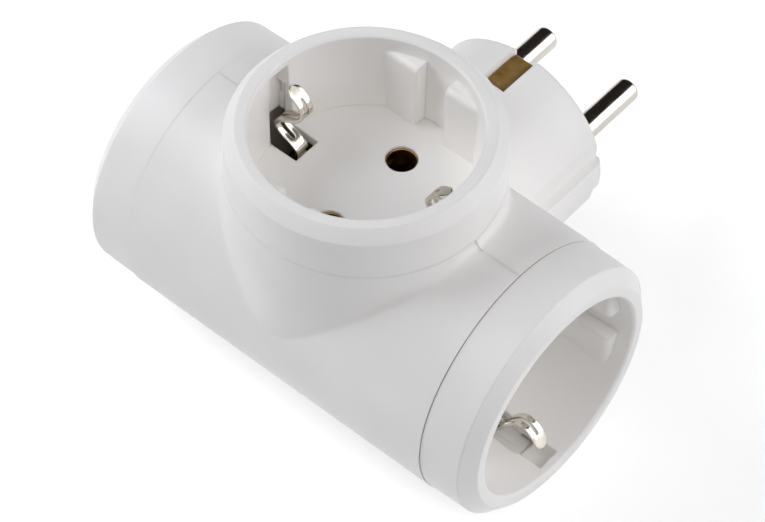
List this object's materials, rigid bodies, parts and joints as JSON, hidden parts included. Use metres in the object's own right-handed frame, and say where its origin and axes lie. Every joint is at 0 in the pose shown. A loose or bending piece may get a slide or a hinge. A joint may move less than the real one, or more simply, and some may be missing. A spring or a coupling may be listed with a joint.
{
  "type": "multi socket adapter",
  "caption": "Round-pin plug adapter: one plug feeds sockets on both ends of a barrel and one on a collar.",
  "frame": {"origin": "centre of the plug's face, midway between the two pins", "axes": "+Y along the pins, away from the plug's face; +X along the barrel; +Z out of the top socket"},
  "size_m": [0.089, 0.0881, 0.0626],
  "materials": {
    "housing": "satin white moulding",
    "cap": "satin white moulding",
    "nickel": "nickel plated turned pin",
    "clip": "bright nickel plated spring strip",
    "brass": "bare stamped brass",
    "insulator": "matt moulding"
  },
  "bodies": {
    "root": {"front_housing": "housing", "rear_housing": "housing", "socket_cap_left": "cap", "socket_cap_right": "cap", "socket_cap_top": "cap", "plug_pin_left": "nickel", "plug_pin_right": "nickel", "pin_carrier": "insulator", "plug_earth_strap": "brass", "earth_clip_left": "clip", "earth_clip_right": "clip", "earth_clip_top": "clip", "earth_link": "brass", "line_contact_left": "brass", "line_contact_right": "brass", "line_contact_top": "brass", "line_busbar": "brass", "line_holder": "insulator", "neutral_contact_left": "brass", "neutral_contact_right": "brass", "neutral_contact_top": "brass", "neutral_busbar": "brass", "neutral_holder": "insulator"}
  },
  "joints": []
}
